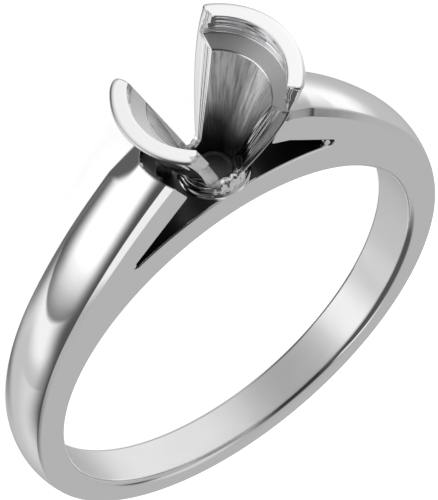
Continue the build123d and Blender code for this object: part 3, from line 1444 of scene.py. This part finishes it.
@dataclass
class Collar:
    """Foot of the setting, two rings soldered together and to the bridge."""

    ring: RingFrame
    # radius and height of the outline, from the bottom up
    outline: tuple[tuple[float, float], ...] = (
        (0.0, 9.20), (1.24, 9.20), (1.33, 9.46), (1.34, 9.60), (1.29, 9.69), (1.20, 9.72), (1.17, 9.75),
        (1.20, 9.78), (1.26, 9.81), (1.28, 9.88), (1.25, 9.96), (1.16, 10.01), (1.02, 10.02), (0.86, 9.96),
        (0.74, 9.6), (0.4, 9.5), (0.0, 9.5),
    )
    waist_y: float = 9.75  # where the two rings meet
    pit_r: float = 0.9
    flutes: int = 22
    flute_depth: float = 0.03
    unevenness: float = 0.012
    pit_floor_y: float = 9.4
    near_rise: float = 0.36  # how much higher the upper ring stands in the near V cut
    near_fade: float = 0.2
    flute_start: float = 0.75  # sine of the angle at which the flutes begin
    flute_phase: float = 0.7
    steps: int = 192

    def point(self, radius: float, height: float, turn: float) -> tuple[float, float, float]:
        """A point of the collar.

        Args:
            radius: Radius of the outline there.
            height: Height of the outline there.
            turn: Angle round the setting's axis.

        Returns:
            The point, with flutes where it shows in the V cuts.
        """
        front = max(0.0, abs(math.sin(turn)) - self.flute_start) / (1 - self.flute_start)
        upper = unit((height - self.waist_y + 0.05) / 0.1) * unit((radius - 0.85) / 0.1)
        flute = math.cos(self.flutes * turn + self.flute_phase) * self.flute_depth * front * upper
        uneven = 1 + self.unevenness * math.sin(3 * turn + 9 * height)
        reach = radius * uneven + flute * min(1.0, radius)
        raised = self.near_rise * unit((height - self.waist_y) / self.near_fade)
        lift = 0.5 * flute * (radius > 0.3) + raised * max(0.0, math.sin(turn)) ** 2
        return reach * math.cos(turn), height + lift, reach * math.sin(turn)

    def build(self) -> bpy.types.Object:
        """Turns the collar and dresses it.

        Returns:
            The piece.
        """
        corners = [np.array(place) for place in self.outline]
        line = [corners[0]]
        for before, corner, after in zip(corners, corners[1:], corners[2:]):
            line += rounded((before + corner) / 2, corner, (corner + after) / 2, 5)
        line.append(corners[-1])
        turns = [2 * math.pi * step / self.steps for step in range(self.steps)]
        points = np.array([self.point(*place, turn) for place in line for turn in turns])
        mesh = mesh_from("collar", points, grid_faces(len(line), self.steps, loop_rows=False))
        mesh.materials.append(Finish.MIRROR.value.material())
        mesh.materials.append(Finish.RECESS_PAINTED_SHADE.value.material())
        # Painted shade: faces in the pit get the near-black recess colour.
        for face in mesh.polygons:
            place = face.center
            in_pit = math.hypot(place[0], place[2]) < self.pit_r and place[1] > self.pit_floor_y
            face.material_index = int(in_pit)
        return finish_piece("collar", mesh, self.ring)


@dataclass(frozen=True)
class Solder:
    """A lump of solder left in a corner. Lengths are in millimetres."""

    name: str
    finish: Finish
    place: tuple[float, float, float]
    radii: tuple[float, float, float]
    tilt: float  # degrees about the finger hole's axis
    unevenness: float = 0.12
    subdivisions: int = 4

    def build(self, ring: RingFrame) -> bpy.types.Object:
        """Builds and dresses the lump.

        Args:
            ring: The frame that places it.

        Returns:
            The piece.
        """
        shape = bmesh.new()
        bmesh.ops.create_icosphere(shape, subdivisions=self.subdivisions, radius=1.0)
        for corner in shape.verts:
            corner.co *= 1 + self.unevenness * noise.noise(corner.co * 1.7 + Vector(self.place))
        mesh = smooth_mesh(self.name, shape)
        turn = Matrix.Rotation(math.radians(self.tilt), 4, "Z")
        mesh.transform(Matrix.Translation(self.place) @ turn @ Matrix.Diagonal((*self.radii, 1.0)))
        mesh.materials.append(self.finish.value.material())
        return finish_piece(self.name, mesh, ring)


SOLDER = (
    # The lump beside the collar is near black: painted shade in that corner.
    Solder("solder_collar", Finish.RECESS_PAINTED_SHADE, (-1.64, 10.22, -0.95), (0.36, 0.78, 0.30), 22.0),
    Solder("solder_right_window", Finish.MIRROR, (4.22, 8.86, 1.06), (0.20, 0.16, 0.15), -35.0),
    Solder("solder_left_window", Finish.MIRROR, (-4.40, 8.80, 1.08), (0.15, 0.12, 0.12), 35.0),
)


@dataclass(frozen=True)
class Panel:
    """A soft box or a dark card, far from the ring. Angles are in degrees."""

    name: str
    azimuth: float  # 0 looks along -Y, 90 along +X
    elevation: float
    half_width: float
    half_height: float
    softness: tuple[float, float, float]  # of the left, the right, and the upper and lower edges
    tilt: float
    level: float

    def share(self, graph: Graph, way: bpy.types.NodeSocket) -> Quantity:
        """How much of a direction this panel fills.

        Args:
            graph: The world's graph.
            way: The direction.

        Returns:
            0 beside the panel and 1 on it, with a soft edge between.
        """
        across, along, out = directions(self.azimuth, self.elevation, self.tilt)

        def part(axis: Vector) -> Quantity:
            """Length of the direction along an axis."""
            node = graph.node("ShaderNodeVectorMath", {"operation": "DOT_PRODUCT"}, {0: way, 1: axis})
            return graph.output(node, "Value")

        def edge(inside: Quantity, softness: float) -> Quantity:
            """0 outside an edge and 1 inside it, with a smooth step between."""
            step = (inside / math.radians(2 * softness) + 0.5).held(0.0, 1.0)
            return step * step * (3 - 2 * step)

        width = part(across).math("ARCTAN2", part(out))
        height = part(along).math("ARCSINE").math("ABSOLUTE")
        half_width, half_height = math.radians(self.half_width), math.radians(self.half_height)
        left, right, upright = self.softness
        wide = edge(half_width + width, left) * edge(half_width - width, right)
        return wide * edge(half_height - height, upright)


# Eight rows hold angles and sizes from a least-squares fit to the brightness of the photograph's
# polished metal: behind_left, behind_grey, right_white, hole_white, face_grey, right_high,
# black_behind and dark_right. The others match no saved fit. A script wrote out all but dark_edge.
PANELS = (
    Panel("behind_left", -147.2, -21.6, 23.3, 11.7, (13.4, 13.4, 13.4), 1.7, 0.60),
    Panel("behind_grey", -177.6, -22.1, 12.7, 15.1, (13.4, 13.4, 13.4), 0.8, 0.54),
    Panel("gap", -88.0, -18.0, 20.0, 48.0, (8.4, 8.4, 8.4), 5.0, 0.10),
    Panel("left_wall", -111.5, -20.5, 15.5, 29.5, (4.4, 11.4, 15.4), 3.0, 1.26),
    Panel("left_second", -73.6, -27.5, 10.3, 24.0, (0.7, 8.4, 12.4), 17.0, 0.98),
    Panel("left_grey", -40.0, -32.0, 26.0, 18.0, (8.4, 14.4, 8.4), 0.0, 0.59),
    Panel("left_third", -42.0, -14.0, 18.0, 13.0, (0.7, 14.4, 8.4), 16.0, 0.72),
    Panel("right_white", 68.1, -14.8, 21.9, 24.9, (15.4, 15.4, 15.4), -0.2, 0.56),
    Panel("right_hot", 76.0, -14.0, 5.0, 9.0, (5.4, 0.7, 5.4), 0.0, 1.10),
    Panel("hole_white", 121.8, -25.7, 45.0, 13.8, (10.4, 18.4, 14.4), -3.4, 1.08),
    Panel("face_grey", 15.8, 24.9, 25.8, 25.5, (11.4, 11.4, 11.4), 0.5, 0.49),
    Panel("dark_upper_left", -77.3, 33.0, 50.0, 28.5, (12.4, 14.4, 9.4), -20.0, 0.09),
    Panel("bevel_light", -70.0, 66.0, 26.0, 3.5, (4.4, 4.4, 2.4), 0.0, 0.95),
    Panel("right_high", 98.7, 54.6, 29.8, 8.4, (9.4, 9.4, 9.4), -4.0, 0.73),
    Panel("black_behind", -159.7, 26.9, 25.5, 34.5, (15.4, 15.4, 15.4), 2.1, 0.04),
    Panel("dark_right", 142.3, 26.1, 13.9, 15.6, (7.4, 7.4, 7.4), 0.3, 0.30),
    Panel("lower_dark", -85.0, -78.0, 45.0, 14.0, (9.4, 9.4, 7.4), 0.0, 0.12),
    Panel("dark_edge", 69.0, 34.0, 13.0, 4.5, (8.4, 8.4, 5.4), 0.0, 0.05),
)


@dataclass
class Studio:
    """Pale light table, soft light and the photograph's camera."""

    ring: RingFrame
    azimuth: float = -160.77
    elevation: float = 27.86
    roll: float = 138.01
    distance: float = 101.98  # millimetres
    focal_pixels: float = 2632.0
    picture: tuple[int, int] = (438, 500)
    ring_pixel: tuple[float, float] = (226.87, 312.05)
    room_level: float = 0.47
    lamp_size: float = 0.5
    lamp_height: float = 0.4
    lamp_power: float = 0.6
    table_size: float = 0.6
    table_glow: float = 0.75
    table_white: float = 0.93
    table_roughness: float = 0.9
    sensor: float = 24.0
    clip: tuple[float, float] = (0.001, 10.0)  # metres

    def camera(self) -> None:
        """Places the camera at the photograph's view of the ring."""
        right, up, back = directions(self.azimuth, self.elevation, self.roll)
        scale = self.focal_pixels / self.distance
        aside = (self.ring_pixel[0] - self.picture[0] / 2) / scale
        above = (self.picture[1] / 2 - self.ring_pixel[1]) / scale
        place = -aside * right - above * up + self.distance * back
        data = bpy.data.cameras.new("photo_camera")
        data.sensor_fit = "VERTICAL"
        data.sensor_height = self.sensor
        data.lens = self.focal_pixels * data.sensor_height / self.picture[1]
        data.clip_start, data.clip_end = self.clip
        camera = linked("photo_camera", data)
        lean = Matrix.Rotation(self.ring.lean, 3, "X")
        turn = Matrix((lean @ right, lean @ up, lean @ back)).transposed()
        camera.matrix_world = Matrix.Translation(lean @ place * MM) @ turn.to_4x4()
        bpy.context.scene.camera = camera

    def floor(self) -> None:
        """Lays a plain pale light table at the ring's lowest point."""
        low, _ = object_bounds()
        shape = bmesh.new()
        bmesh.ops.create_grid(shape, x_segments=4, y_segments=4, size=self.table_size)
        mesh = smooth_mesh("floor", shape)
        mesh.transform(Matrix.Translation((0, 0, low[2])))
        material, graph = new_material("pale_floor")
        pale = {"Base Color": (*(self.table_white,) * 3, 1.0), "Roughness": self.table_roughness}
        shade(graph, {**pale, "Emission Color": WHITE, "Emission Strength": self.table_glow})
        mesh.materials.append(material)
        floor = linked("floor", mesh)
        floor.visible_glossy = False
        floor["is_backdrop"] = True

    def world(self) -> None:
        """Lights the ring with soft boxes and dark cards set round it."""
        world = bpy.data.worlds.new("room")
        world.use_nodes = True
        graph = Graph(world.node_tree)
        way = graph.node("ShaderNodeTexCoord").outputs["Generated"]
        light = graph.number(self.room_level)
        for panel in PANELS:
            light = light + panel.share(graph, way) * (panel.level - light)
        glow = graph.node("ShaderNodeBackground", None, {"Color": WHITE, "Strength": light})
        graph.node("ShaderNodeOutputWorld", None, {"Surface": glow.outputs[0]})
        bpy.context.scene.world = world

    def lamp(self) -> None:
        """Hangs a large soft light over the floor, which the metal doesn't show."""
        data = bpy.data.lights.new("floor_light", "AREA")
        data.shape = "SQUARE"
        data.size = self.lamp_size
        data.energy = self.lamp_power
        lamp = linked("floor_light", data)
        lamp.location = (0.0, 0.0, self.lamp_height)
        lamp.visible_glossy = False

    def build(self) -> None:
        """Sets up the whole studio."""
        bpy.context.scene.view_settings.view_transform = "Standard"
        for part in (self.camera, self.floor, self.world, self.lamp):
            part()


def main() -> None:
    """Builds the pieces in order and reports them."""
    logging.basicConfig(level=logging.INFO, format="%(message)s")
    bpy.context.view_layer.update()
    ring = RingFrame.of(frame["record"])
    Studio(ring).build()
    Band(ring).build()
    right_far = CutEnd(0.35, 0.03, 0.0, 0.0, 0.0, 10.19, -0.14)
    # Parts of the near right and the far left cut faces get painted shade in their colour.
    right_near = CutEnd(0.30, 0.0, 0.16, 0.24, 0.08, 9.8, 0.25, Finish.FACET_PAINTED_SHADE)
    left_near = CutEnd(0.5, 0.06, 0.0, 0.36, 0.56, 9.8, 0.32, Finish.MATTE, Finish.MATTE)
    left_far = CutEnd(1.0, 0.0, 0.11, 0.0, 0.0, 10.19, 0.12, Finish.FACET_PAINTED_SHADE, Finish.FACET_PAINTED_SHADE)
    Wing(ring, Side.RIGHT, 0.15, 0.385, right_far, right_near).build()
    Wing(ring, Side.LEFT, 0.40, 0.35, left_near, left_far, (0.07, 0.05)).build()
    Collar(ring).build()
    for lump in SOLDER:
        lump.build(ring)
    bpy.context.view_layer.update()


if __name__ == "__main__":
    main()
